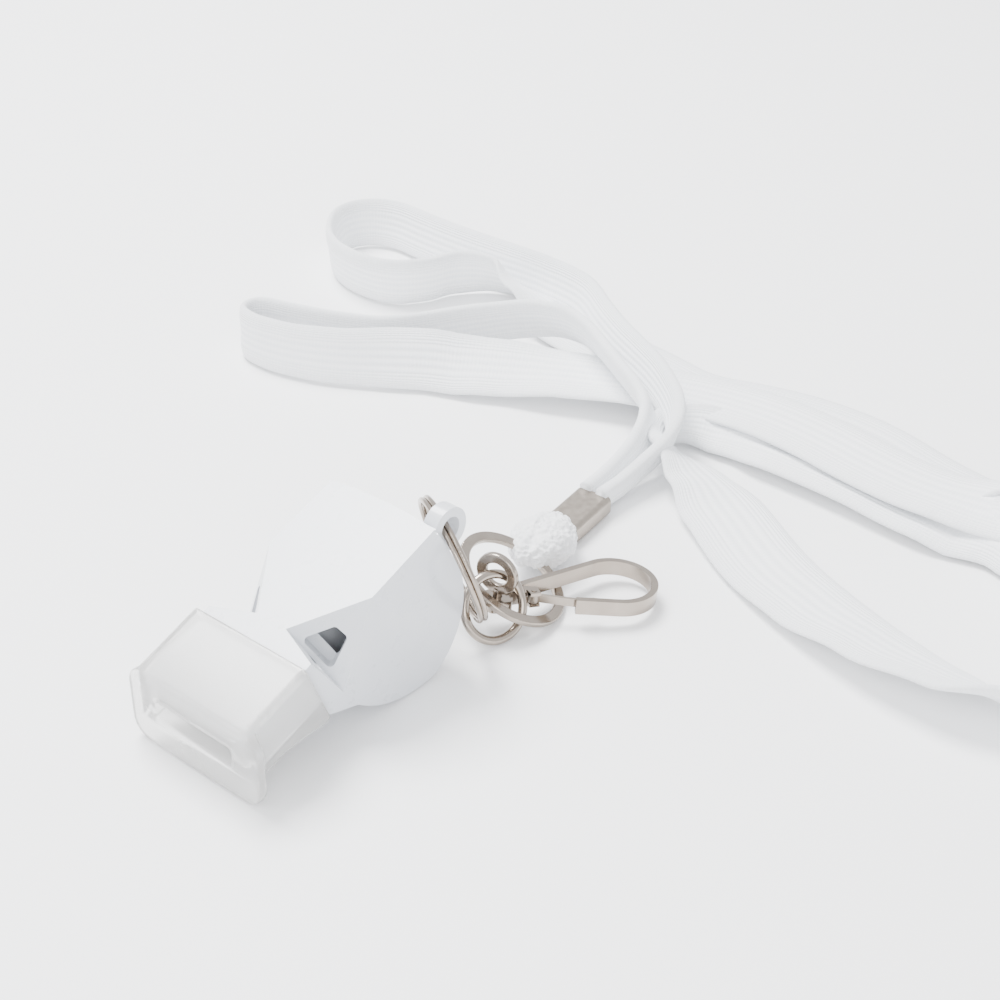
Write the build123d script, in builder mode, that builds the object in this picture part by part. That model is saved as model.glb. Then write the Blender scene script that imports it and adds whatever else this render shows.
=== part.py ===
"""Pealess training whistle with a mouth grip, on a flat woven lanyard.

The whistle rests on the front edge of its mouth grip and on the round underside of its
chambers, so its flat deck rises towards the rear.  X runs from the mouthpiece to the rear,
Y across the whistle, Z up.  Z = 0 is the table that it lies on.
"""

import os
from math import radians, tan

from build123d import *

os.makedirs("parts", exist_ok=True)

# ---------------------------------------------------------------- driving dimensions, mm
rest_x = 36.71  # mouth end of the deck line to the middle of the object
rest_y = -5.71  # middle line of the whistle to the middle of the object
deck_tilt = 21.1  # rise of the deck towards the rear, degrees
deck_height = 10.8  # height of the deck line at the mouth end

body_width = 20.0
body_length = 38.8  # mouth end to the rear edge of the deck
body_depth = 22.3  # deck to the lowest point of the chambers
wall = 1.3
deck_thickness = 1.2
neck_width = 5.6  # what is left of the deck between the two window notches
notch_front = 13.2
neck_front = 15.7
shoulder = 25.6  # where the deck has its full width again
notch_depth = 9.3
deck_bulge = 0.6  # how far the rear edge of the deck bows out
window_fillet = 0.7

body_front = 12.0  # where the chamber block begins behind the grip
mouth_start = 0.3
mouth_width = 19.0
mouth_height = 5.6
mouth_wall = 1.0
pocket_end = 8.2  # rear of the pocket for the windway insert
passage_height = 1.6
slot_width = 15.0
slot_height = 2.4
insert_length = 7.6
insert_fit = 0.06
channel_width = 4.4

grip_width = 22.1
grip_length = 11.8
grip_top = 1.05  # top of the grip above the deck line
grip_clearance = 0.1
flange_width = 25.4
flange_thickness = 1.5
flange_corner = 3.0

lug_thickness = 2.4
lug_radius = 3.2
lug_hole = 1.8
lug_x = 41.85
lug_drop = 3.6
lug_y = -7.9

split_ring_radius = 9.6
split_wire = 0.8
link_ring_radius = 4.9
link_wire = 1.4
cord_ring_radius = 8.3
cord_ring_strip = 1.7
cord_ring_thickness = 1.0

eye_outer = 3.4
eye_hole = 1.85
eye_thickness = 1.0
post_diameter = 1.3
post_head = 2.3
post_clearance = 0.06

hook_angle = -30.0
hook_tilt = 5.9
hook_height = 2.4  # width of the strip that the hook is bent from
hook_strip = 1.0
hook_reach = 19.0  # swivel to the middle of the round end
hook_bend = 5.8
hook_spread = 16.0  # half angle between the two arms
hook_tip_start = 11.0
box_start = -1.9
box_length = 3.9
box_width = 3.8
box_height = 1.85
box_corner = 1.1
box_wall = 0.6
gate_height = 1.3
gate_thickness = 0.45
gate_pin_radius = 0.45
gate_pin_clearance = 0.05
gate_pivot = (5.5, -0.4)

crimp_length = 10.9
crimp_width = 6.4
crimp_height = 3.4
crimp_wall = 0.5
crimp_turn = 8.7  # the crimp's direction in plan, degrees

tape_width = 15.0
tape_thickness = 1.5
edge_height = 12.0  # where the tape stands on its edge
edge_thickness = 1.9
strand_height = 4.6  # where it is folded and gathered into a strand
strand_width = 2.6


def at(x, y, z):
    """A point measured from the mouth end of the whistle's middle line."""
    return Vector(x - rest_x, y - rest_y, z)


def write(builder, label):
    """Name a finished piece and write it to its own file."""
    builder.part.label = label
    export_step(builder.part, "parts/" + label + ".step")


# ---------------------------------------------------------------- the whistle's own planes
deck = Plane(origin=at(0, 0, deck_height), x_dir=(1, 0, 0), z_dir=(0, 0, 1)).rotated((0, -deck_tilt, 0))
side = Plane(origin=deck.origin, x_dir=deck.x_dir, z_dir=-deck.y_dir)  # local x along, local y up
half = body_width / 2


def deck_point(x, y, z):
    """A point given along, across and above the deck."""
    return deck.from_local_coords(Vector(x, y, z))


def notch_plane(sign):
    """Plane square to the inner edge of one window notch."""
    top = deck_point(neck_front, sign * neck_width / 2, 0)
    foot = deck_point(neck_front - 0.2, sign * half, -notch_depth)
    return Plane(origin=top, x_dir=deck.x_dir, z_dir=foot - top)


def wedge_plane(sign):
    """Plane of the slanted face that carries the window, x along its upper edge."""
    top = deck_point(neck_front, sign * neck_width / 2, 0)
    rear = deck_point(shoulder, sign * half, 0)
    foot = deck_point(neck_front - 0.2, sign * half, -notch_depth)
    normal = (rear - top).cross(foot - top)
    return Plane(origin=top, x_dir=rear - top, z_dir=normal)


def notch_outline(sign, inset):
    """Corners of the notch's section on its own plane, its rear face moved out by inset."""
    plane = notch_plane(sign)
    rear = plane.to_local_coords(deck_point(shoulder, sign * half, 0))
    front = plane.to_local_coords(deck_point(notch_front, sign * half, 0))
    rear_dir = Vector(rear.X, rear.Y, 0).normalized()
    front_dir = Vector(front.X, front.Y, 0).normalized()
    out = Vector(-rear_dir.Y, rear_dir.X, 0)
    if out.dot(front_dir) > 0:
        out = out * -1
    start = out * inset - rear_dir * inset
    far = rear_dir * 40 + out * inset
    return [(start.X, start.Y), (far.X, far.Y), (front_dir.X * 40, front_dir.Y * 40)]


chamber_front = neck_front + wall
drum_low = (29.7, -body_depth)
drum_rear = (body_length + 1.2, -7.5)
mouth_middle = -deck_thickness - mouth_height / 2


def notch_pair(depth):
    """Both window notches as solids, their rear faces moved by depth."""
    with BuildPart() as pair:
        for sign in (-1, 1):
            with BuildSketch(notch_plane(sign)):
                with BuildLine():
                    Polyline(*notch_outline(sign, depth), close=True)
                make_face()
            extrude(amount=30, both=True)
    return pair.part


# ---------------------------------------------------------------- body shell with the chambers
with BuildPart() as chambers:
    for centre, width in ((-5.8, 5.8), (0, 4.0), (5.8, 5.8)):
        with BuildSketch(side.offset(-centre)):
            with BuildLine():
                top = Line((chamber_front + 2, -deck_thickness - wall), (body_length - 1.2, -deck_thickness - wall))
                rear = Line(top @ 1, (body_length - 0.2, -7.5))
                lower = ThreePointArc(rear @ 1, (35.9, -17.2), (29.7, -body_depth + wall))
                upper = ThreePointArc(lower @ 1, (22.4, -18.0), (18.2, -13.0))
                throat = Line(upper @ 1, (chamber_front + 2, -9))
                Line(throat @ 1, top @ 0)
            make_face()
        extrude(amount=width / 2, both=True)
    add(notch_pair(wall), mode=Mode.SUBTRACT)

with BuildPart() as body_shell:
    with BuildSketch(side):
        with BuildLine():
            roof = Line((body_front, -deck_thickness), (body_length + 0.3, -deck_thickness))
            back = Line(roof @ 1, drum_rear)
            rear_arc = ThreePointArc(back @ 1, (37.0, -18.2), drum_low)
            front_arc = ThreePointArc(drum_low, (21.4, -19.0), (16.6, -13.6))
            throat = Line(front_arc @ 1, (body_front, -10.2))
            Line(throat @ 1, roof @ 0)
        make_face()
    extrude(amount=half, both=True)
    # mouthpiece, a flat tube that the grip is stretched over
    with BuildSketch(side):
        with Locations(((mouth_start + body_front) / 2, mouth_middle)):
            Rectangle(body_front - mouth_start + 0.04, mouth_height)
    extrude(amount=mouth_width / 2, both=True)
    with BuildSketch(side):
        with Locations((pocket_end / 2, mouth_middle)):
            Rectangle(pocket_end, mouth_height - 2 * mouth_wall)
    extrude(amount=mouth_width / 2 - mouth_wall, both=True, mode=Mode.SUBTRACT)
    # the windway, wide to the notches and narrow to the centre chamber
    with BuildSketch(side):
        with Locations((neck_front / 2, mouth_middle)):
            Rectangle(neck_front - 0.4, passage_height)
    extrude(amount=mouth_width / 2 - mouth_wall, both=True, mode=Mode.SUBTRACT)
    with BuildSketch(side):
        with Locations((neck_front, mouth_middle)):
            Rectangle(9, passage_height)
    extrude(amount=1.7, both=True, mode=Mode.SUBTRACT)
    add(chambers.part, mode=Mode.SUBTRACT)
    add(notch_pair(0), mode=Mode.SUBTRACT)
    # the rounded three-cornered sound windows
    for sign in (-1, 1):
        with BuildSketch(wedge_plane(sign)):
            with BuildLine():
                Polyline((1.3, 2.0), (6.3, 2.0), (7.3, 4.0), (3.6, 7.6), close=True)
            make_face()
            fillet(vertices(), radius=window_fillet)
        extrude(amount=3, both=True, mode=Mode.SUBTRACT)
    # the lug for the split ring
    with BuildSketch(Plane(origin=deck_point(0, lug_y, 0), x_dir=deck.x_dir, z_dir=-deck.y_dir)):
        with Locations((lug_x, -lug_drop)):
            Circle(lug_radius)
        with Locations((lug_x - lug_radius + 0.4, -lug_drop - 0.4)):
            Rectangle(2 * lug_radius - 1.5, 2 * lug_radius - 1.0)
        with Locations((lug_x, -lug_drop)):
            Circle(lug_hole, mode=Mode.SUBTRACT)
    extrude(amount=lug_thickness / 2, both=True)
    with BuildSketch(Plane(origin=deck_point(0, lug_y, 0), x_dir=deck.x_dir, z_dir=-deck.y_dir)):
        with Locations((lug_x, -lug_drop)):
            Circle(lug_hole)
    extrude(amount=lug_thickness, both=True, mode=Mode.SUBTRACT)
write(body_shell, "body_shell")

# ---------------------------------------------------------------- deck cover
with BuildPart() as deck_cover:
    with BuildSketch(deck.offset(-deck_thickness)):
        with BuildLine():
            near = Line((body_front, -half), (body_length, -half))
            rear = ThreePointArc(near @ 1, (body_length + deck_bulge, 0), (body_length, half))
            far = Line(rear @ 1, (body_front, half))
            Line(far @ 1, near @ 0)
        make_face()
    extrude(amount=deck_thickness)
    add(notch_pair(0), mode=Mode.SUBTRACT)
write(deck_cover, "deck_cover")

# ---------------------------------------------------------------- windway insert
insert_height = mouth_height - 2 * mouth_wall - 2 * insert_fit
insert_half = mouth_width / 2 - mouth_wall - insert_fit
with BuildPart() as windway_insert:
    with BuildSketch(side):
        with Locations((mouth_start + insert_length / 2, mouth_middle)):
            Rectangle(insert_length, insert_height)
    extrude(amount=insert_half, both=True)
    with BuildSketch(side):
        with Locations((mouth_start, mouth_middle)):
            Rectangle(9, slot_height)
    extrude(amount=slot_width / 2, both=True, mode=Mode.SUBTRACT)
    # three separate channels behind the blowing slot
    for centre in (-5.4, 0, 5.4):
        with BuildSketch(side.offset(-centre)):
            with Locations((mouth_start + insert_length, mouth_middle)):
                Rectangle(9, passage_height)
        extrude(amount=channel_width / 2, both=True, mode=Mode.SUBTRACT)
write(windway_insert, "windway_insert")

# ---------------------------------------------------------------- soft mouth grip
flange_height = deck_height + grip_top
flange_face = Plane(origin=at(-0.4, 0, flange_height / 2), x_dir=(0, 1, 0), z_dir=(1, 0, 0))
with BuildPart() as mouth_grip:
    with BuildSketch(side):
        with BuildLine():
            Polyline(
                (0.3, grip_top), (grip_length, grip_top), (grip_length, -10.1), (11.1, -10.1),
                (5.8, -8.1), (2.7, -7.5), (-1.6, -7.6), close=True,
            )
        make_face()
    extrude(amount=grip_width / 2, both=True)
    fillet(mouth_grip.edges().filter_by(Axis(deck.origin, deck.x_dir)), radius=0.8)
    with BuildSketch(flange_face):
        RectangleRounded(flange_width, flange_height, flange_corner)
    extrude(amount=flange_thickness)
    with BuildSketch(side):
        with Locations(((mouth_start + grip_length) / 2 + 0.4, mouth_middle)):
            Rectangle(grip_length - mouth_start + 1.2, mouth_height + 2 * grip_clearance)
    extrude(amount=mouth_width / 2 + grip_clearance, both=True, mode=Mode.SUBTRACT)
    with BuildSketch(side):
        with Locations((-1, mouth_middle)):
            Rectangle(6, slot_height)
    extrude(amount=slot_width / 2, both=True, mode=Mode.SUBTRACT)
write(mouth_grip, "mouth_grip")

# ---------------------------------------------------------------- rings
split_plane = Plane(origin=at(44.23, -5.79, 14.09), z_dir=(0.848, -0.443, 0.291))
link_plane = Plane(origin=at(48.67, -9.71, 5.15), z_dir=(-0.244, -0.875, 0.418))
cord_ring_plane = Plane(origin=at(55.93, -6.87, 5.21), z_dir=(0.262, -0.452, 0.853))

with BuildPart() as split_ring:
    for turn in (-1, 1):
        with Locations(split_plane.offset(turn * split_wire * 0.48)):
            Torus(split_ring_radius, split_wire / 2)
write(split_ring, "split_ring")

with BuildPart() as link_ring:
    with Locations(link_plane):
        Torus(link_ring_radius, link_wire / 2)
write(link_ring, "link_ring")

with BuildPart() as cord_ring:
    with BuildSketch(cord_ring_plane):
        Circle(cord_ring_radius + cord_ring_strip / 2)
        Circle(cord_ring_radius - cord_ring_strip / 2, mode=Mode.SUBTRACT)
    extrude(amount=cord_ring_thickness / 2, both=True)
    fillet(cord_ring.edges(), radius=0.25)
write(cord_ring, "cord_ring")

# ---------------------------------------------------------------- swivel eye and snap hook
eye_centre = at(51.07, -8.31, 9.3)
eye_plane = Plane(origin=eye_centre, x_dir=(0, 0, 1), z_dir=(-0.984, -0.174, 0))
swivel = Plane(origin=(eye_centre.X, eye_centre.Y, 0))
rest_low = 3.45  # height of the strip's lower edge at the swivel
slope = tan(radians(hook_tilt))
heading = Vector(1, 0, 0).rotate(Axis.Z, hook_angle)
hook_plane = Plane(
    origin=Vector(eye_centre.X, eye_centre.Y, rest_low + hook_height / 2),
    x_dir=heading - Vector(0, 0, slope),
    z_dir=Vector(0, 0, 1) + heading * slope,
)
box_roof = rest_low + box_height

with BuildPart() as swivel_eye:
    with BuildSketch(eye_plane):
        Circle(eye_outer)
        Circle(eye_hole, mode=Mode.SUBTRACT)
    extrude(amount=eye_thickness / 2, both=True)
    fillet(swivel_eye.edges(), radius=0.25)
    with BuildSketch(swivel.offset(box_roof - box_wall - 0.6)):
        Circle(post_diameter / 2)
    extrude(amount=eye_centre.Z - eye_hole - 0.7 - box_roof + box_wall + 0.6)
    with BuildSketch(swivel.offset(box_roof - box_wall - 0.7)):
        Circle(post_head / 2)
    extrude(amount=0.45)
write(swivel_eye, "swivel_eye")

with BuildPart() as hook_frame:
    with BuildLine(hook_plane):
        arm = Line((1.4, 1.0), (17.4, 5.575))
        bend = ThreePointArc(arm @ 1, (hook_reach + hook_bend, 0), (17.4, -5.575))
        tip = Line(bend @ 1, (hook_tip_start, -3.74))
    with BuildSketch(Plane(origin=arm @ 0, x_dir=hook_plane.z_dir, z_dir=arm % 0)):
        Rectangle(hook_height, hook_strip)
    sweep()
    with BuildSketch(hook_plane.offset(-hook_height / 2)):
        with Locations((box_start + box_length / 2, 0)):
            RectangleRounded(box_length, box_width, box_corner)
    extrude(amount=box_height)
    # two tabs that hold the gate pin
    with BuildSketch(hook_plane):
        with BuildLine():
            Polyline(
                (1.9, -0.1), (4.5, -0.1), (4.7, -1.3), (6.3, -1.3), (6.3, 0.5), (4.6, 1.0), (1.9, 1.0),
                close=True,
            )
        make_face()
    extrude(amount=hook_height / 2, both=True)
    with BuildSketch(hook_plane):
        with Locations((5.2, -0.6)):
            Rectangle(3.6, 3.0)
    extrude(amount=gate_height / 2 + gate_pin_clearance, both=True, mode=Mode.SUBTRACT)
    # pocket under the roof of the box, and the holes for the swivel post and the pin
    with BuildSketch(hook_plane.offset(-hook_height / 2)):
        with Locations((box_start + box_length / 2, 0)):
            RectangleRounded(box_length - 2 * box_wall, box_width - 2 * box_wall, box_corner - box_wall)
    extrude(amount=box_height - box_wall, mode=Mode.SUBTRACT)
    with BuildSketch(swivel):
        Circle(post_diameter / 2 + post_clearance)
    extrude(amount=20, mode=Mode.SUBTRACT)
    with BuildSketch(hook_plane.offset(-2)):
        with Locations(gate_pivot):
            Circle(gate_pin_radius)
    extrude(amount=4, mode=Mode.SUBTRACT)
write(hook_frame, "hook_frame")

with BuildPart() as gate_pin:
    with BuildSketch(hook_plane.offset(-hook_height / 2 - 0.1)):
        with Locations(gate_pivot):
            Circle(gate_pin_radius)
    extrude(amount=hook_height + 0.2)
write(gate_pin, "gate_pin")

with BuildPart() as hook_gate:
    with BuildSketch(hook_plane):
        with BuildLine():
            outer = Polyline(gate_pivot, (11, -2.85), (14, -3.34))
            offset(outer, amount=gate_thickness / 2)
        make_face()
        with Locations(gate_pivot):
            Circle(gate_pin_radius + gate_pin_clearance + 0.35)
        with Locations(gate_pivot):
            Circle(gate_pin_radius + gate_pin_clearance, mode=Mode.SUBTRACT)
    extrude(amount=gate_height / 2, both=True)
write(hook_gate, "hook_gate")

# ---------------------------------------------------------------- crimp and cord end loop
crimp_plane = Plane(origin=at(75.1, -0.45, crimp_height / 2), z_dir=Vector(1, 0, 0).rotate(Axis.Z, crimp_turn), x_dir=(0, 0, 1))
with BuildPart() as cord_crimp:
    with BuildSketch(crimp_plane):
        RectangleRounded(crimp_height, crimp_width, 0.9)
        RectangleRounded(crimp_height - 2 * crimp_wall, crimp_width - 2 * crimp_wall, 0.5, mode=Mode.SUBTRACT)
    extrude(amount=crimp_length)
write(cord_crimp, "cord_crimp")

loop_plane = Plane(origin=at(63.75, -4.24, 4.2), x_dir=(0.942, 0.317, -0.121), z_dir=(-0.216, 0.835, 0.509))
with BuildPart() as cord_loop:
    with BuildSketch(loop_plane):
        with Locations((0, 0)):
            Circle(2.9)
        with Locations((10.2, 0)):
            Circle(1.6)
        make_hull()
    extrude(amount=2.5, both=True)
    with BuildSketch(loop_plane):
        with Locations((0, 0)):
            Circle(1.5)
        with Locations((6.5, 0)):
            Circle(0.3)
        make_hull()
    extrude(amount=4, both=True, mode=Mode.SUBTRACT)
    with BuildSketch(crimp_plane.offset(-1.2)):
        RectangleRounded(crimp_height - 2 * crimp_wall - 0.06, crimp_width - 2 * crimp_wall - 0.06, 0.5)
    extrude(amount=crimp_length + 1.2)
    add(cord_crimp.part, mode=Mode.SUBTRACT)
write(cord_loop, "cord_loop")

# ---------------------------------------------------------------- the flat tape
# One tape, written as runs: its way from the crimp, round both loops, and back to the crimp.
# Each run is (name, section, points along its middle); heights put crossing runs clear of
# each other.  A run ends halfway to the first point of the next.
flat_0 = 0.8
flat_1 = 2.45
flat_2 = 4.15
stand = edge_height / 2 + 0.1
low = 1.6
over = 7.4
sections = {
    "flat": (tape_thickness, tape_width),
    "edge": (edge_height, edge_thickness),
    "strand": (strand_height, strand_width),
    "low": (3.0, 4.0),
}
tape_runs = [
    ("tape_strand_out", "strand", [
        (92, -0.3, 2.8), (97.5, -0.6, 4.6), (103, -0.8, 5.7), (109, 1.5, 5.9), (113.5, 6.5, 7.3),
        (118.5, 14.5, over), (123, 24, over), (129, 34, over), (137, 44, over), (140, 52, over),
    ]),
    ("tape_loop_far", "edge", [
        (141.2, 60, stand), (140.2, 72, stand), (140.4, 88, stand), (142, 102, stand),
        (134, 108, stand), (123.5, 101.5, stand), (118.5, 92.5, stand), (118.5, 80.5, stand),
        (125, 75, stand), (132, 73, stand), (136, 66, stand), (135, 58, stand),
    ]),
    ("tape_band_right", "flat", [
        (134, 46, flat_0), (132, 36, flat_0), (130.5, 24, flat_0), (128, 12, flat_0), (132.5, 0, flat_0),
        (134.5, -10, flat_0), (134, -22, flat_0), (130, -34, flat_0), (128, -45, flat_0),
    ]),
    ("tape_turn_right", "strand", [
        (127.5, -56, 2.35), (130, -68, 2.35), (127, -80, 2.35), (116, -84, 2.35), (107, -77, 2.35),
        (108, -66, 2.35), (117, -59, 2.35),
    ]),
    ("tape_band_under", "flat", [
        (117, -43, flat_1), (118.8, -28, flat_1), (118.5, -14, flat_1),
    ]),
    ("tape_fold", "low", [
        (114, 5, low), (109, 6, low), (104.5, 1, low), (102, -8, low),
    ]),
    ("tape_band_left", "flat", [
        (98, -16, flat_0), (89, -30, flat_0), (84, -42, flat_0), (80, -55, flat_0), (78, -67, flat_0),
    ]),
    ("tape_turn_left", "strand", [
        (79, -80, 2.35), (78, -90, 3.0), (86, -97, 4.2), (97, -98, 6.2), (108, -93, 7.3),
        (116, -80, 7.3), (119.5, -69, 7.2), (120.6, -57, 7.05),
    ]),
    ("tape_band_top", "flat", [
        (120.2, -42, flat_2), (121.5, -30, flat_2), (124, -18, flat_2), (125, -6, flat_2), (123, 6, flat_2),
        (119, 18, flat_2), (113.5, 30, flat_2), (106.5, 42, flat_2),
    ]),
    ("tape_loop_near", "edge", [
        (98, 54, stand), (89.5, 64.5, stand), (85.5, 74.5, stand), (84.5, 83, stand), (87, 87.5, stand),
        (91.5, 87, stand), (93, 80, stand), (96.5, 70.5, stand), (101, 62, stand), (110, 55.5, stand),
        (119.5, 46, stand),
    ]),
    ("tape_strand_back", "strand", [
        (122.5, 38, over), (121, 30, over), (114, 18, over), (109, 7, 7.3), (104.5, 4, 6.2),
        (98, 3.6, 4.6), (92, 3.5, 2.8),
    ]),
]
crimp_end = crimp_plane.offset(crimp_length).origin
tape_start = crimp_end + Vector(0.45, -1.45, 0.75)
tape_finish = crimp_end + Vector(0.1, 1.45, 0.75)


def bend_radii(points):
    """Radius at each inner corner: 0.45 of the shorter run beside it over tan(half the turn)."""
    radii = []
    for before, corner, after in zip(points, points[1:], points[2:]):
        one = corner - before
        two = after - corner
        turn = radians(max(one.get_angle(two), 0.5))
        radii.append(round(0.45 * min(one.length, two.length) / tan(turn / 2), 2))
    return radii


print("crimp end", crimp_end)
ideal = 0
made = 0
for index, (run_name, section, run) in enumerate(tape_runs):
    points = [at(*point) for point in run]
    before = tape_start
    after = tape_finish
    if index > 0:
        before = (at(*tape_runs[index - 1][2][-1]) + points[0]) * 0.5
        before.Z = points[0].Z
    if index < len(tape_runs) - 1:
        after = (at(*tape_runs[index + 1][2][0]) + points[-1]) * 0.5
        after.Z = points[-1].Z
    points = [before] + points + [after]
    radii = bend_radii(points)
    with BuildPart() as tape:
        with BuildLine() as middle_line:
            FilletPolyline(*points, radius=radii)
        heading_in = points[1] - points[0]
        across = heading_in.cross(Vector(0, 0, 1))
        section_plane = Plane(origin=points[0], x_dir=across.cross(heading_in), z_dir=heading_in)
        with BuildSketch(section_plane):
            Rectangle(*sections[section])
        sweep(path=middle_line.wires()[0])
    write(tape, run_name)
    ideal += sections[section][0] * sections[section][1] * middle_line.wires()[0].length
    made += tape.part.volume
    print(run_name, "length", round(middle_line.wires()[0].length, 1), "radii", radii)
print("tape volume", round(made), "of", round(ideal))
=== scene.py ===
# %% [markdown]
# # A pealess whistle on a flat lanyard
# The hard parts of this object, the whistle, its rings and its snap hook, come from the packed
# model as they are. Blender gives them their finishes, and makes what is soft: the clear mouth
# grip, the fluffy end loop and the long woven tape. First the frame is loaded and measured.

# %% Load the frame
import math

import bmesh
import bpy
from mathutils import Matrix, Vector


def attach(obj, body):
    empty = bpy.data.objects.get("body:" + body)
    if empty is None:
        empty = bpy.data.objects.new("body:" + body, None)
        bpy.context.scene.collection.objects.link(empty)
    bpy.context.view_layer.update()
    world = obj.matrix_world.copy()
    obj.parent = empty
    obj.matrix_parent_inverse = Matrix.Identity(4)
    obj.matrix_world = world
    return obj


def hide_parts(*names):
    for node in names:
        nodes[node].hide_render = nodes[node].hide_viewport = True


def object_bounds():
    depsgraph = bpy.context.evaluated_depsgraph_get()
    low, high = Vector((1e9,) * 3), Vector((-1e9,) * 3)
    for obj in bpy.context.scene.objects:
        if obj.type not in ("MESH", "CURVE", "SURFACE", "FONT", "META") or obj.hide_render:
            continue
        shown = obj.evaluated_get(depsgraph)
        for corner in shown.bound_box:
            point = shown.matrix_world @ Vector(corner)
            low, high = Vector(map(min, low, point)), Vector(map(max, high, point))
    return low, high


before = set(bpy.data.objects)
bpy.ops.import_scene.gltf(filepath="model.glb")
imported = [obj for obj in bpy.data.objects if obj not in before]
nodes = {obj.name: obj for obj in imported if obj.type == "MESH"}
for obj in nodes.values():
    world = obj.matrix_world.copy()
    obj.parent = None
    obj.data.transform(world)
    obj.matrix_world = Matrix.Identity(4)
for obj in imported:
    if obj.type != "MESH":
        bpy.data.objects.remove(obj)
cad_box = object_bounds()
MM = 0.001
print("loaded", len(nodes), "nodes, box", cad_box)

# %% [markdown]
# ## Where things are
# The whistle's mouth end is a handy place to count from: the same one that its maker would
# measure from. One function turns millimetres from there into metres in the row's frame, whose
# origin is the middle of the whistle, rings and hook.

# %% A maker's coordinates
REST_X = 36.71
REST_Y = -5.71
TAPE_WIDTH = 15.0
TAPE_THICK = 1.5


def at(x, y, z):
    """A point in metres from millimetres counted from the whistle's mouth end."""
    return Vector(((x - REST_X) * MM, (y - REST_Y) * MM, z * MM))


print("mouth end at", tuple(round(v, 5) for v in at(0, 0, 0)))

# %% [markdown]
# ## Two effects shared by several finishes
# Real plating and moulded plastic are never quite even. A small node group turns position into a
# soft mottle that the materials mix into their roughness and colour. The weave group draws the
# lengthwise ribs of a knitted tape from its UV map: U runs along the tape and V round it.

# %% Node groups
def new_group(name, inputs, outputs):
    """An empty shader group with float inputs and outputs."""
    group = bpy.data.node_groups.new(name, "ShaderNodeTree")
    for label, value in inputs:
        socket = group.interface.new_socket(label, in_out="INPUT", socket_type="NodeSocketFloat")
        socket.default_value = value
    for label in outputs:
        group.interface.new_socket(label, in_out="OUTPUT", socket_type="NodeSocketFloat")
    return group, group.nodes.new("NodeGroupInput"), group.nodes.new("NodeGroupOutput")


def build_mottle():
    """Fine, soft unevenness by place on the object."""
    group, given, out = new_group("mottle", [("Scale", 200.0), ("Amount", 0.1)], ["Value", "Height"])
    place = group.nodes.new("ShaderNodeTexCoord")
    noise = group.nodes.new("ShaderNodeTexNoise")
    noise.inputs["Detail"].default_value = 4.0
    centred = group.nodes.new("ShaderNodeMath")
    centred.operation = "SUBTRACT"
    centred.inputs[1].default_value = 0.5
    scaled = group.nodes.new("ShaderNodeMath")
    scaled.operation = "MULTIPLY"
    join = group.links.new
    join(place.outputs["Object"], noise.inputs["Vector"])
    join(given.outputs["Scale"], noise.inputs["Scale"])
    join(noise.outputs["Fac"], centred.inputs[0])
    join(centred.outputs[0], scaled.inputs[0])
    join(given.outputs["Amount"], scaled.inputs[1])
    join(scaled.outputs[0], out.inputs["Value"])
    join(noise.outputs["Fac"], out.inputs["Height"])
    return group


STITCH_SHARE = 0.35


def build_weave():
    """Lengthwise ribs with small stitches between them, from the UV map."""
    group, given, out = new_group("weave", [("Ribs", 30.0), ("Stitches", 900.0)], ["Height", "Shade"])
    place = group.nodes.new("ShaderNodeTexCoord")
    split = group.nodes.new("ShaderNodeSeparateXYZ")
    join = group.links.new
    join(place.outputs["UV"], split.inputs[0])
    waves = []
    for axis, count in (("Y", "Ribs"), ("X", "Stitches")):
        times = group.nodes.new("ShaderNodeMath")
        times.operation = "MULTIPLY"
        join(split.outputs[axis], times.inputs[0])
        join(given.outputs[count], times.inputs[1])
        turns = group.nodes.new("ShaderNodeMath")
        turns.operation = "MULTIPLY"
        turns.inputs[1].default_value = 2 * math.pi
        join(times.outputs[0], turns.inputs[0])
        wave = group.nodes.new("ShaderNodeMath")
        wave.operation = "SINE"
        join(turns.outputs[0], wave.inputs[0])
        waves.append(wave)
    both = group.nodes.new("ShaderNodeMath")
    both.operation = "MULTIPLY_ADD"
    both.inputs[1].default_value = STITCH_SHARE
    join(waves[1].outputs[0], both.inputs[0])
    join(waves[0].outputs[0], both.inputs[2])
    shade = group.nodes.new("ShaderNodeMapRange")
    shade.inputs["From Min"].default_value = -(1 + STITCH_SHARE)
    shade.inputs["From Max"].default_value = 1 + STITCH_SHARE
    join(both.outputs[0], shade.inputs["Value"])
    join(both.outputs[0], out.inputs["Height"])
    join(shade.outputs[0], out.inputs["Shade"])
    return group


MOTTLE = build_mottle()
WEAVE = build_weave()
print("groups", MOTTLE.name, WEAVE.name)

# %% [markdown]
# ## Hard finishes
# Moulded plastic is a plain dielectric with a clear gloss. Nickel plate is metal with a warm
# tint. The crimp and the gate are dragged through a tool when made, so they are a little
# rougher. One function makes such a finish from its numbers.

# %% Materials for the hard parts
def new_finish(name):
    """A new material, with its node tree and its shader."""
    material = bpy.data.materials.new(name)
    material.use_nodes = True
    return material, material.node_tree, material.node_tree.nodes["Principled BSDF"]


def mottled(tree, shader, scale, amount, roughness):
    """The mottle, placed in a material, where it varies the roughness about its middle value."""
    mottle = tree.nodes.new("ShaderNodeGroup")
    mottle.node_tree = MOTTLE
    mottle.inputs["Scale"].default_value = scale
    mottle.inputs["Amount"].default_value = amount
    total = tree.nodes.new("ShaderNodeMath")
    total.operation = "ADD"
    total.inputs[1].default_value = roughness
    tree.links.new(mottle.outputs["Value"], total.inputs[0])
    tree.links.new(total.outputs[0], shader.inputs["Roughness"])
    return mottle


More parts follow.
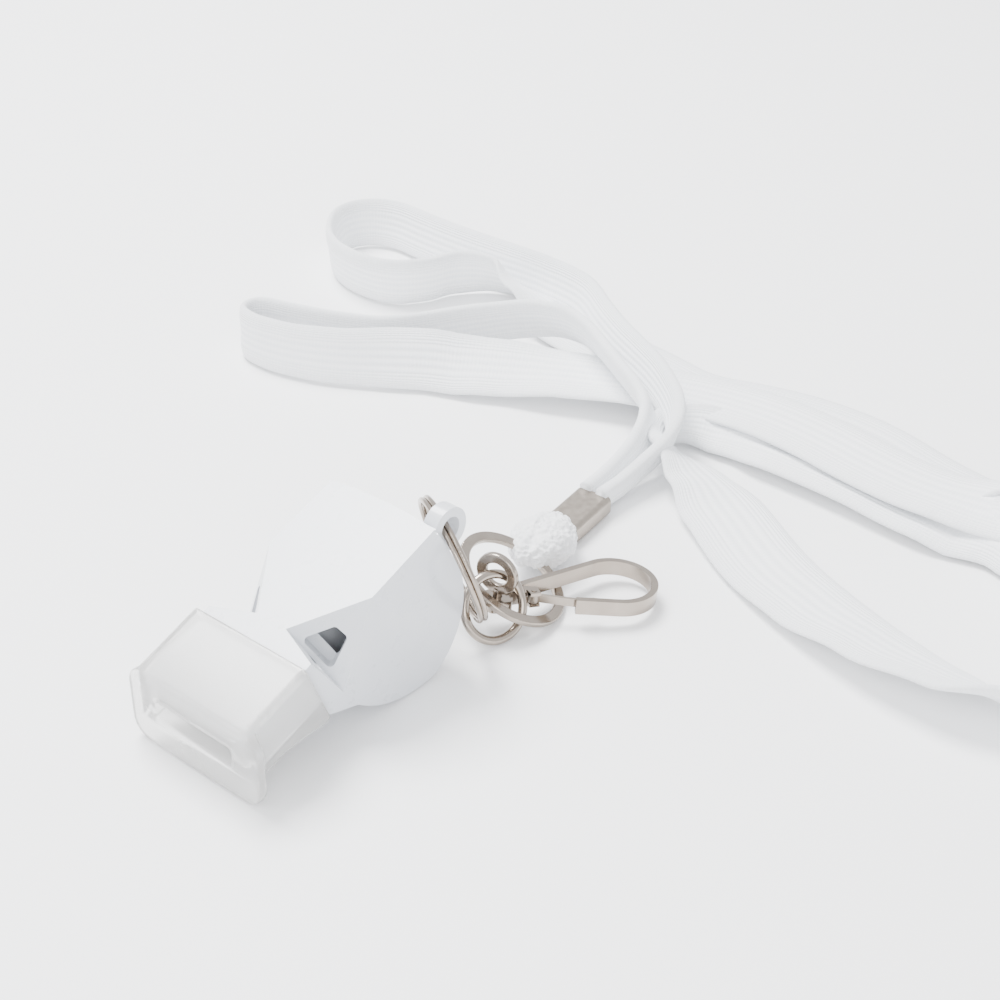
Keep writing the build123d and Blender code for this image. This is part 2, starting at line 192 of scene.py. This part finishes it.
def bumped(tree, shader, height, strength, distance):
    """Small relief from a height that changes over the surface, its distance in millimetres."""
    bump = tree.nodes.new("ShaderNodeBump")
    bump.inputs["Strength"].default_value = strength
    bump.inputs["Distance"].default_value = distance * MM
    tree.links.new(height, bump.inputs["Height"])
    tree.links.new(bump.outputs["Normal"], shader.inputs["Normal"])


def mix_colour(tree, factor, low, high):
    """A mix between two colours by a varying factor."""
    mix = tree.nodes.new("ShaderNodeMix")
    mix.data_type = "RGBA"
    mix.inputs["A"].default_value = (*low, 1)
    mix.inputs["B"].default_value = (*high, 1)
    tree.links.new(factor, mix.inputs["Factor"])
    return mix.outputs["Result"]


def hard_finish(name, low, high, roughness, metallic=0.0, coat=0.0, scale=300.0, uneven=0.1,
                relief=0.0):
    """A plated or moulded finish whose colour and roughness drift a little from place to place."""
    material, tree, shader = new_finish(name)
    shader.inputs["Metallic"].default_value = metallic
    shader.inputs["Coat Weight"].default_value = coat
    shader.inputs["Coat Roughness"].default_value = 0.08
    mottle = mottled(tree, shader, scale, uneven, roughness)
    tint = mix_colour(tree, mottle.outputs["Height"], low, high)
    tree.links.new(tint, shader.inputs["Base Color"])
    if relief:
        bumped(tree, shader, mottle.outputs["Height"], relief, 0.2)
    return material


WHITE_SHELL = hard_finish("white_shell", (0.60, 0.62, 0.66), (0.65, 0.67, 0.70), 0.28, coat=0.3,
                          uneven=0.05)
# The windway insert is given a dark grey that stands in for the shade inside the slot and window:
# painted shade.
INSERT_PAINTED_SHADE = hard_finish("insert_painted_shade", (0.2, 0.21, 0.23), (0.25, 0.26, 0.28), 0.5, uneven=0.05)
NICKEL = hard_finish("nickel", (0.30, 0.255, 0.215), (0.42, 0.37, 0.32), 0.2, metallic=1.0,
                     uneven=0.12)
BRUSHED = hard_finish("brushed_nickel", (0.30, 0.26, 0.22), (0.42, 0.37, 0.32), 0.32, metallic=1.0,
                      scale=900.0, uneven=0.2, relief=0.15)
SHARP_EDGE = math.radians(35)


def dress(names, material, bevel=0.0):
    """Give CAD nodes a finish, and soften their edges by a width in millimetres."""
    for name in names:
        piece = nodes[name]
        piece.data.materials.clear()
        piece.data.materials.append(material)
        if bevel:
            edge = piece.modifiers.new("edge", "BEVEL")
            edge.width = bevel * MM
            edge.segments = 2
            edge.limit_method = "ANGLE"
            edge.angle_limit = SHARP_EDGE
        print("finish", material.name, "on", name)


dress(["body_shell", "deck_cover"], WHITE_SHELL, bevel=0.25)
# The insert's dark grey is painted shade inside the slot.
dress(["windway_insert"], INSERT_PAINTED_SHADE)
dress(["split_ring", "link_ring", "cord_ring", "swivel_eye", "gate_pin"], NICKEL)
dress(["hook_frame"], NICKEL, bevel=0.12)
dress(["hook_gate", "cord_crimp"], BRUSHED, bevel=0.08)

# %% [markdown]
# ## The clear mouth grip
# The grip is soft clear rubber, stretched over the mouthpiece. A bevel would round each edge by
# the same width, which suits hard plastic. Here the hard outline is remeshed to small even cells
# and then smoothed, which rounds it the way that soft rubber rounds in its mould.

# %% The grip
def softened(name, node, cell, rounds):
    """A soft copy of a CAD solid, with even cells of a size in millimetres and rounded edges."""
    mesh = nodes[node].data.copy()
    piece = bpy.data.objects.new(name, mesh)
    bpy.context.scene.collection.objects.link(piece)
    remesh = piece.modifiers.new("cells", "REMESH")
    remesh.mode = "VOXEL"
    remesh.voxel_size = cell * MM
    remesh.use_smooth_shade = True
    smooth = piece.modifiers.new("round", "SMOOTH")
    smooth.factor = 0.5
    smooth.iterations = rounds
    return piece


def clear_rubber():
    """Clear soft rubber with a faint warm tint."""
    material, tree, shader = new_finish("clear_rubber")
    shader.inputs["Transmission Weight"].default_value = 0.72
    shader.inputs["IOR"].default_value = 1.43
    mottle = mottled(tree, shader, 250.0, 0.1, 0.12)
    tint = mix_colour(tree, mottle.outputs["Height"], (0.95, 0.945, 0.93), (0.99, 0.985, 0.975))
    tree.links.new(tint, shader.inputs["Base Color"])
    return material


grip = softened("soft_grip", "mouth_grip", 0.3, 3)
grip.data.materials.clear()
grip.data.materials.append(clear_rubber())
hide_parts("mouth_grip")
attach(grip, "whistle")
print("grip made")

# %% [markdown]
# ## The fluffy end loop
# The end of the tape is turned back through its ring and frays into a white fluffy loop that is
# gripped by the crimp. A fine ball is narrowed at the crimp, creased where the loop parts, and
# then pushed in and out by two sizes of noise.

# %% End loop
HALF_WIDTH, HALF_HEIGHT = 4.9, 3.7
OVERHANG = 2.2
NECK_DEPTH = 0.42
CREASE_DEPTH, CREASE_WIDTH = 0.28, 0.22


def yarn():
    """White brushed yarn."""
    material, tree, shader = new_finish("white_yarn")
    shader.inputs["Sheen Weight"].default_value = 0.3
    mottle = mottled(tree, shader, 1500.0, 0.1, 0.85)
    tint = mix_colour(tree, mottle.outputs["Height"], (0.78, 0.79, 0.81), (0.97, 0.97, 0.97))
    tree.links.new(tint, shader.inputs["Base Color"])
    bumped(tree, shader, mottle.outputs["Height"], 0.8, 0.4)
    return material


def tuft(name, ring_end, crimp_end):
    """An uneven ball of yarn between the ring and the crimp, narrow where the crimp grips it."""
    middle = (ring_end + crimp_end) / 2
    length = (crimp_end - ring_end).length / 2 + OVERHANG * MM
    heading = (crimp_end - ring_end).normalized()
    level = heading.cross(Vector((0, 0, 1))).normalized()
    rise = level.cross(heading)
    work = bmesh.new()
    bmesh.ops.create_icosphere(work, subdivisions=6, radius=1.0)
    for v in work.verts:
        u, w, h = v.co
        neck = 1 - NECK_DEPTH * max(u, 0) ** 1.5
        crease = 1 - CREASE_DEPTH * math.exp(-(w / CREASE_WIDTH) ** 2) * max(-u + 0.5, 0)
        beside = level * (w * HALF_WIDTH * MM * neck)
        above = rise * (h * HALF_HEIGHT * MM * neck * crease)
        v.co = middle + heading * (u * length) + beside + above
    mesh = bpy.data.meshes.new(name)
    work.to_mesh(mesh)
    work.free()
    for face in mesh.polygons:
        face.use_smooth = True
    piece = bpy.data.objects.new(name, mesh)
    bpy.context.scene.collection.objects.link(piece)
    return piece


fluff = tuft("fluffy_loop", at(63.2, -4.3, 4.9), at(74.4, -0.8, 3.2))
for label, size, height, rise in (("tufts", 2.4, 1.5, 0.5), ("fibres", 0.6, 0.6, 0.5)):
    cloud = bpy.data.textures.new(label, "CLOUDS")
    cloud.noise_scale = size * MM
    push = fluff.modifiers.new(label, "DISPLACE")
    push.texture = cloud
    push.texture_coords = "LOCAL"
    push.strength = height * MM
    push.mid_level = rise
fluff.data.materials.clear()
fluff.data.materials.append(yarn())
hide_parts("cord_loop")
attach(fluff, "lanyard")
print("end loop made")

# %% [markdown]
# ## The woven tape
# The lanyard is one tubular tape, pressed flat. It lies in bands where it can, and it stands on
# its edge where it turns back. The route is a list of given places, which follows the
# route of the imported model. Each place also has a roll, from 0 lying flat to 90 on its edge, and
# a width, since the tape is gathered near the crimp and narrows where it stands.

# %% The tape's route
FLAT, EDGE = 0, 90
LEAN = 72
LOOP_WIDTH = 10.0
LOOP_MIDDLE = 4.9
ROUTE = [
    # from the crimp up over the pile
    (85.6, -0.2, 2.0, 76, 4.6), (92, -0.2, 2.8, 76, 4.8), (97.5, -0.3, 4.0, 74, 5.2),
    (103, -0.6, 5.4, 72, 5.8), (109, 1.5, 6.6, 72, 6.4), (113.5, 6.5, 7.6, 70, 7.0),
    (118.5, 14.5, 8.0, 66, 7.6), (123, 24, 7.8, 64, 8.2), (129, 34, 7.2, 64, 8.8),
    (137, 44, 6.2, 68, 9.4), (140, 52, 5.4, 74, 9.8),
    # far loop on its edge
    (141.2, 60, LOOP_MIDDLE, 80, LOOP_WIDTH), (140.2, 72, LOOP_MIDDLE, LEAN, LOOP_WIDTH),
    (140.4, 88, LOOP_MIDDLE, LEAN, LOOP_WIDTH), (142, 102, LOOP_MIDDLE, LEAN, LOOP_WIDTH),
    (134, 108, LOOP_MIDDLE, 80, LOOP_WIDTH), (123.5, 101.5, LOOP_MIDDLE, 84, LOOP_WIDTH),
    (118.5, 92.5, LOOP_MIDDLE, 84, LOOP_WIDTH), (118.5, 80.5, LOOP_MIDDLE, 84, LOOP_WIDTH),
    (125, 75, LOOP_MIDDLE, 82, LOOP_WIDTH), (132, 73, 4.8, 76, 10.6), (136, 66, 4.2, 60, 12.0),
    (135, 58, 2.8, 32, 13.6),
    # right-hand band
    (134, 46, 1.0, FLAT, TAPE_WIDTH), (132, 36, 0.8, FLAT, TAPE_WIDTH),
    (130.5, 24, 0.8, FLAT, TAPE_WIDTH), (128, 12, 0.8, FLAT, TAPE_WIDTH),
    (132.5, 0, 0.8, FLAT, TAPE_WIDTH), (134.5, -10, 0.8, FLAT, TAPE_WIDTH),
    (134, -22, 0.8, FLAT, TAPE_WIDTH), (130, -34, 0.8, FLAT, TAPE_WIDTH),
    (128, -45, 0.9, 6, TAPE_WIDTH),
    # turn out of sight to the right
    (127.5, -56, 3.4, 45, 12.0), (130, -68, 5.0, 80, 10.0), (127, -80, 5.1, EDGE, 10.0),
    (116, -84, 5.1, EDGE, 10.0), (107, -77, 5.1, EDGE, 10.0), (108, -66, 5.1, 84, 10.0),
    (117, -59, 3.6, 45, 12.0),
    # band that lies under the top one
    (117, -43, 2.5, 4, TAPE_WIDTH), (118.8, -28, 2.5, FLAT, TAPE_WIDTH),
    (118.5, -14, 2.5, FLAT, 14.0), (118, -4, 2.6, 14, 11.0),
    # folded over to the left-hand band
    (114, 5, 3.0, 40, 7.0), (109, 6, 3.2, 55, 6.4), (104.5, 1, 3.0, 45, 7.6), (102, -8, 1.9, 14, 12.0),
    (98, -16, 0.9, 3, TAPE_WIDTH), (89, -30, 0.8, FLAT, TAPE_WIDTH), (84, -42, 1.2, 4, TAPE_WIDTH),
    (80, -55, 2.4, 14, TAPE_WIDTH), (78, -67, 3.0, 24, 14.6),
    # turn out of sight to the left
    (79, -80, 4.2, 50, 11.0), (78, -90, 5.2, 80, 9.6), (86, -97, 5.8, 88, 9.6),
    (97, -98, 7.6, 88, 9.6), (108, -93, 10.6, 70, 9.0), (116, -80, 10.9, 60, 9.0),
    (119.5, -69, 9.0, 45, 10.0), (120.6, -57, 6.4, 20, 12.6),
    # top band
    (120.2, -42, 4.4, FLAT, TAPE_WIDTH), (121.5, -30, 4.2, FLAT, TAPE_WIDTH),
    (124, -18, 4.2, FLAT, TAPE_WIDTH), (125, -6, 4.2, FLAT, TAPE_WIDTH), (123, 6, 4.2, FLAT, TAPE_WIDTH),
    (119, 18, 4.2, FLAT, TAPE_WIDTH), (113.5, 30, 4.2, 6, 14.6), (106.5, 42, 4.4, 26, 13.0),
    # near loop on its edge
    (98, 54, LOOP_MIDDLE, 56, 11.4), (89.5, 64.5, LOOP_MIDDLE, 70, 10.4),
    (85.5, 74.5, LOOP_MIDDLE, 76, LOOP_WIDTH),
    (84.5, 83, LOOP_MIDDLE, 84, LOOP_WIDTH), (87, 87.5, LOOP_MIDDLE, EDGE, LOOP_WIDTH),
    (91.5, 87, LOOP_MIDDLE, EDGE, LOOP_WIDTH), (93, 80, LOOP_MIDDLE, EDGE, LOOP_WIDTH),
    (96.5, 70.5, LOOP_MIDDLE, 86, LOOP_WIDTH), (101, 62, 5.2, 84, LOOP_WIDTH),
    (110, 55.5, 6.2, 82, 9.6), (119.5, 46, 8.2, 76, 9.0),
    # back over the pile to the crimp
    (122.5, 38, 9.4, 70, 8.4), (121, 30, 9.6, 68, 7.8), (114, 18, 9.2, 68, 7.0),
    (109, 7.6, 7.6, 70, 6.2), (104.5, 4.6, 5.8, 74, 5.6), (98, 3.2, 4.0, 78, 5.0),
    (92, 2.9, 2.8, 80, 4.6), (85.6, 2.6, 2.0, 80, 4.4),
]

print("route has", len(ROUTE), "places")

# %% [markdown]
# ## One smooth middle line
# A real tape has no corners in it, so the places become the control points of a NURBS curve of
# order 3, which is smooth and stays close to them. Blender works out the curve's own points, and
# the length of the tape is measured along them.

# %% The tape's middle line
def middle_line(name, route):
    """One smooth curve through the route, with no thickness."""
    data = bpy.data.curves.new(name, "CURVE")
    data.dimensions = "3D"
    data.resolution_u = 8
    spline = data.splines.new("NURBS")
    spline.points.add(len(route) - 1)
    for point, stop in zip(spline.points, route):
        point.co = (*at(*stop[:3]), 1)
    spline.order_u = 3
    spline.use_endpoint_u = True
    return data


def line_points(data):
    """The curve's own points, read from Blender."""
    holder = bpy.data.objects.new("line_holder", data)
    bpy.context.scene.collection.objects.link(holder)
    bpy.context.view_layer.update()
    mesh = bpy.data.meshes.new_from_object(holder)
    found = [v.co.copy() for v in mesh.vertices]
    bpy.data.objects.remove(holder)
    bpy.data.meshes.remove(mesh)
    return found


line = line_points(middle_line("tape_line", ROUTE))

# %% [markdown]
# ## The tape itself
# A curve of order 3 has its control points at half steps of its own count, so the roll and width
# at any point come from the two control points on either side of it. The section is a flat tube
# with round edges and a shallow dent along its middle, as a pressed tube has. Where the tape
# would reach below the floor, its section is lifted to lie just above it.

# %% Sweep the section
EDGE_ROUNDING, FACE_ROUNDING = 0.55, 0.75
DENT_DEPTH = 0.22
MOST_GATHER, GATHER_POWER = 2.0, 0.6
FLOOR_GAP = 0.1


def along(route, column, place):
    """The roll or width at a place along the curve."""
    last = len(route) - 1
    marks = [0.0] + [i - 0.5 for i in range(1, last)] + [last - 1.0]
    for i in range(last):
        if place <= marks[i + 1] or i == last - 1:
            share = (place - marks[i]) / (marks[i + 1] - marks[i])
            share = min(max(share, 0.0), 1.0)
            share = share * share * (3 - 2 * share)
            return route[i][column] * (1 - share) + route[i + 1][column] * share
    return route[last][column]


def section(width, thick, steps):
    """Points round a flat tube, centred on its middle line."""
    ring = []
    for k in range(steps):
        turn = 2 * math.pi * k / steps
        side = math.copysign(abs(math.cos(turn)) ** EDGE_ROUNDING, math.cos(turn))
        rise = math.copysign(abs(math.sin(turn)) ** FACE_ROUNDING, math.sin(turn))
        dent = 1 - DENT_DEPTH * (1 - abs(side)) ** 2
        ring.append((side * width / 2, rise * thick / 2 * dent))
    return ring


def sweep_tape(name, points, route, steps=24):
    """A mesh that follows the points, rolled and gathered as the route says."""
    verts, faces, uvs = [], [], []
    last = len(points) - 1
    run = 0.0
    runs = []
    for i, point in enumerate(points):
        if i:
            run += (point - points[i - 1]).length
        runs.append(run)
        place = (len(route) - 2) * i / last
        roll = math.radians(along(route, 3, place))
        width = along(route, 4, place) * MM
        gather = min(TAPE_WIDTH * MM / width, MOST_GATHER)
        thick = TAPE_THICK * MM * gather ** GATHER_POWER
        ahead = (points[min(i + 1, last)] - points[max(i - 1, 0)]).normalized()
        side = ahead.cross(Vector((0, 0, 1))).normalized()
        rise = side.cross(ahead)
        across = side * math.cos(roll) + rise * math.sin(roll)
        out = rise * math.cos(roll) - side * math.sin(roll)
        reach = width / 2 * abs(math.sin(roll)) + thick / 2 * abs(math.cos(roll))
        lift = Vector((0, 0, max(0.0, reach + FLOOR_GAP * MM - point.z)))
        for u, v in section(width, thick, steps):
            verts.append(point + lift + across * u + out * v)
    for i in range(last):
        for k in range(steps):
            n = (k + 1) % steps
            faces.append((i * steps + k, i * steps + n, (i + 1) * steps + n, (i + 1) * steps + k))
            far = (k + 1) / steps
            uvs += [(runs[i], k / steps), (runs[i], far), (runs[i + 1], far), (runs[i + 1], k / steps)]
    faces.append(tuple(reversed(range(steps))))
    faces.append(tuple(last * steps + k for k in range(steps)))
    uvs += [(0, k / steps) for k in range(2 * steps)]
    mesh = bpy.data.meshes.new(name)
    mesh.from_pydata(verts, [], faces)
    layer = mesh.uv_layers.new(name="along_and_round")
    for corner, uv in zip(layer.data, uvs):
        corner.uv = uv
    for face in mesh.polygons:
        face.use_smooth = True
    mesh.update()
    piece = bpy.data.objects.new(name, mesh)
    bpy.context.scene.collection.objects.link(piece)
    return piece


def woven():
    """White ribbed tape, with painted shade in the grooves between its ribs and stitches."""
    material, tree, shader = new_finish("white_tape")
    shader.inputs["Sheen Weight"].default_value = 0.25
    weave = tree.nodes.new("ShaderNodeGroup")
    weave.node_tree = WEAVE
    weave.inputs["Ribs"].default_value = 44.0
    weave.inputs["Stitches"].default_value = 1400.0
    # The colour is darker in the grooves between ribs and stitches and lighter on their tops: painted
    # shade. The same values also set the roughness.
    tint = mix_colour(tree, weave.outputs["Shade"], (0.83, 0.85, 0.88), (0.95, 0.96, 0.97))
    tree.links.new(tint, shader.inputs["Base Color"])
    rough = tree.nodes.new("ShaderNodeMapRange")
    rough.inputs["To Min"].default_value = 0.72
    rough.inputs["To Max"].default_value = 0.86
    tree.links.new(weave.outputs["Shade"], rough.inputs["Value"])
    tree.links.new(rough.outputs[0], shader.inputs["Roughness"])
    bumped(tree, shader, weave.outputs["Height"], 0.5, 0.12)
    return material


tape = sweep_tape("woven_tape", line, ROUTE)
tape.data.materials.append(woven())
TAPE_NODES = [name for name in nodes if name.startswith("tape_")]
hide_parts(*TAPE_NODES)
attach(tape, "lanyard")
print("tape replaces", len(TAPE_NODES), "nodes")

# %% [markdown]
# ## Floor
# The object lies on a plain pale sheet. One large plane just below the lowest point does for it,
# with a mottle so faint that it only keeps the white from looking dead flat.

# %% Floor
FLOOR_SIZE = 4.0
PALE_FLOOR = hard_finish("pale_floor", (0.94, 0.94, 0.945), (0.955, 0.955, 0.96), 0.6,
                         scale=40.0, uneven=0.04)
bpy.ops.mesh.primitive_plane_add(size=FLOOR_SIZE, location=(0, 0, cad_box[0][2] - 0.0001))
floor = bpy.context.object
floor.name = "floor"
floor.data.materials.append(PALE_FLOOR)
print("floor at", round(floor.location.z, 5))

# %% [markdown]
# ## Light
# White things on a white sheet are told apart only by soft shadows, so most of the light comes
# from an even sky. A large key light above the far side makes the faces that look at the camera
# a little darker, a fill opens the shade on the left, and a small front light catches the metal.

# %% Light
SKY_STRENGTH = 1.7
AIM = (0.03, 0.01, 0)


def soft_light(name, place, aim, size, power):
    """A square area light that points at a place."""
    data = bpy.data.lights.new(name, "AREA")
    data.size = size
    data.energy = power
    lamp = bpy.data.objects.new(name, data)
    lamp.location = place
    lamp.rotation_euler = (Vector(aim) - Vector(place)).to_track_quat("-Z", "Y").to_euler()
    bpy.context.scene.collection.objects.link(lamp)
    return lamp


world = bpy.data.worlds.new("studio")
world.use_nodes = True
world.node_tree.nodes["Background"].inputs["Color"].default_value = (0.95, 0.97, 1.0, 1)
world.node_tree.nodes["Background"].inputs["Strength"].default_value = SKY_STRENGTH
bpy.context.scene.world = world
soft_light("key", (0.1, 0.4, 0.75), AIM, 0.4, 19.0)
soft_light("fill", (-0.5, 0.1, 0.5), AIM, 0.5, 2.5)
soft_light("front", (-0.35, -0.35, 0.25), (0.0, 0.0, 0.01), 0.3, 1.6)

# %% [markdown]
# ## Camera
# The camera looks down at the object from the mouth end, past the whistle's corner. Its place is
# worked out from two angles and a distance from the point that it looks at.

# %% Camera
AZIMUTH, ELEVATION, DISTANCE = math.radians(-48.9), math.radians(31.7), 0.2977
LENS, SENSOR = 64.7, 36.0
back = Vector((math.sin(AZIMUTH) * math.cos(ELEVATION), -math.cos(AZIMUTH) * math.cos(ELEVATION),
               math.sin(ELEVATION)))
camera_data = bpy.data.cameras.new("camera")
camera_data.lens = LENS
camera_data.sensor_width = SENSOR
camera = bpy.data.objects.new("camera", camera_data)
target = at(78.0, 14.7, 0)
camera.location = target + back * DISTANCE
camera.rotation_euler = (-back).to_track_quat("-Z", "Y").to_euler()
bpy.context.scene.collection.objects.link(camera)
bpy.context.scene.camera = camera
print("camera at", tuple(round(v, 4) for v in camera.location))

# %% [markdown]
# ## The end
# The visual model may not grow out of the CAD model's box.

# %% The end
print("scene built")
